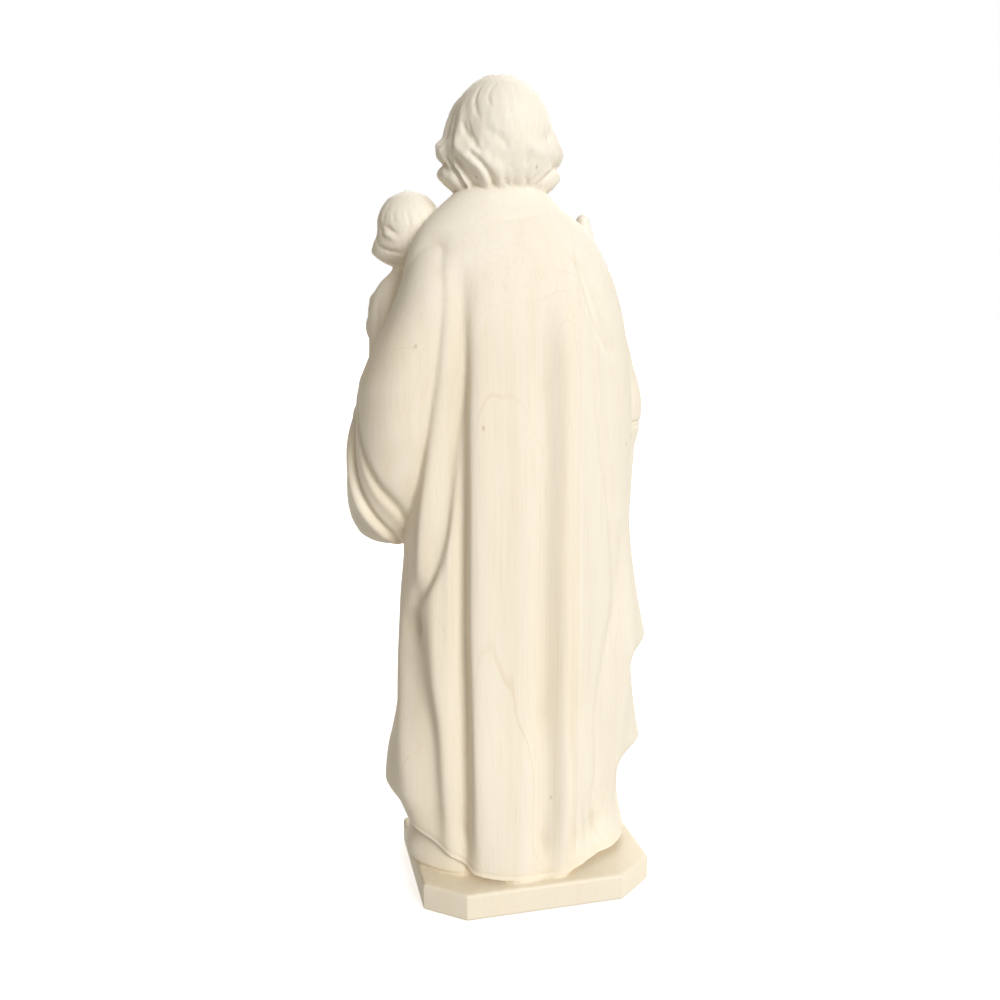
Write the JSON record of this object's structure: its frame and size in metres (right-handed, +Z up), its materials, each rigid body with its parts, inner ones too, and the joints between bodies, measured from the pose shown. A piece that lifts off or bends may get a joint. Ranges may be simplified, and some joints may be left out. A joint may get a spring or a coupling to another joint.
{
  "type": "saint joseph statue",
  "caption": "Carved wooden figure of a standing bearded man in a long mantle, with a child on his left arm and a lily in his right hand, on a low plinth.",
  "frame": {"origin": "centre of the plinth's underside", "axes": "+Z up, the figure looks along -Y, and its left hand side, with the child, is +X"},
  "size_m": [0.1535, 0.118, 0.4002],
  "materials": {
    "maple": "pale unpainted maple, finely sanded, matte with a faint natural sheen"
  },
  "bodies": {
    "root": {"statue": "maple"}
  },
  "joints": []
}
